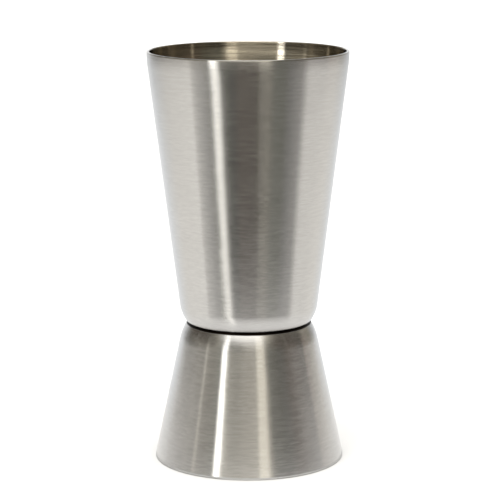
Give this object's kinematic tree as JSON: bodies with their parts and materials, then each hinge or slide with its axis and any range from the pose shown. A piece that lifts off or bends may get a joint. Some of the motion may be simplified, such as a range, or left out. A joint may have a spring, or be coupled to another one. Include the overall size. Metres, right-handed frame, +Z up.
{
  "type": "bar jigger",
  "caption": "Double-ended bar measure: a tall steel cup and a short wide steel cup, both slightly conical, welded base to base.",
  "frame": {"origin": "on the axis, in the plane that the small cup's rim stands on", "axes": "+Z up the axis, from the small cup to the large one; X and Y are free, since the cups are turned shapes"},
  "size_m": [0.0426, 0.0426, 0.0876],
  "materials": {
    "large_cup_steel": "brushed round the axis",
    "small_cup_steel": "brushed round the axis",
    "weld_steel": "as fused"
  },
  "bodies": {
    "root": {"large_cup": "large_cup_steel", "small_cup": "small_cup_steel", "weld_nugget_1": "weld_steel", "weld_nugget_2": "weld_steel", "weld_nugget_3": "weld_steel"}
  },
  "joints": []
}
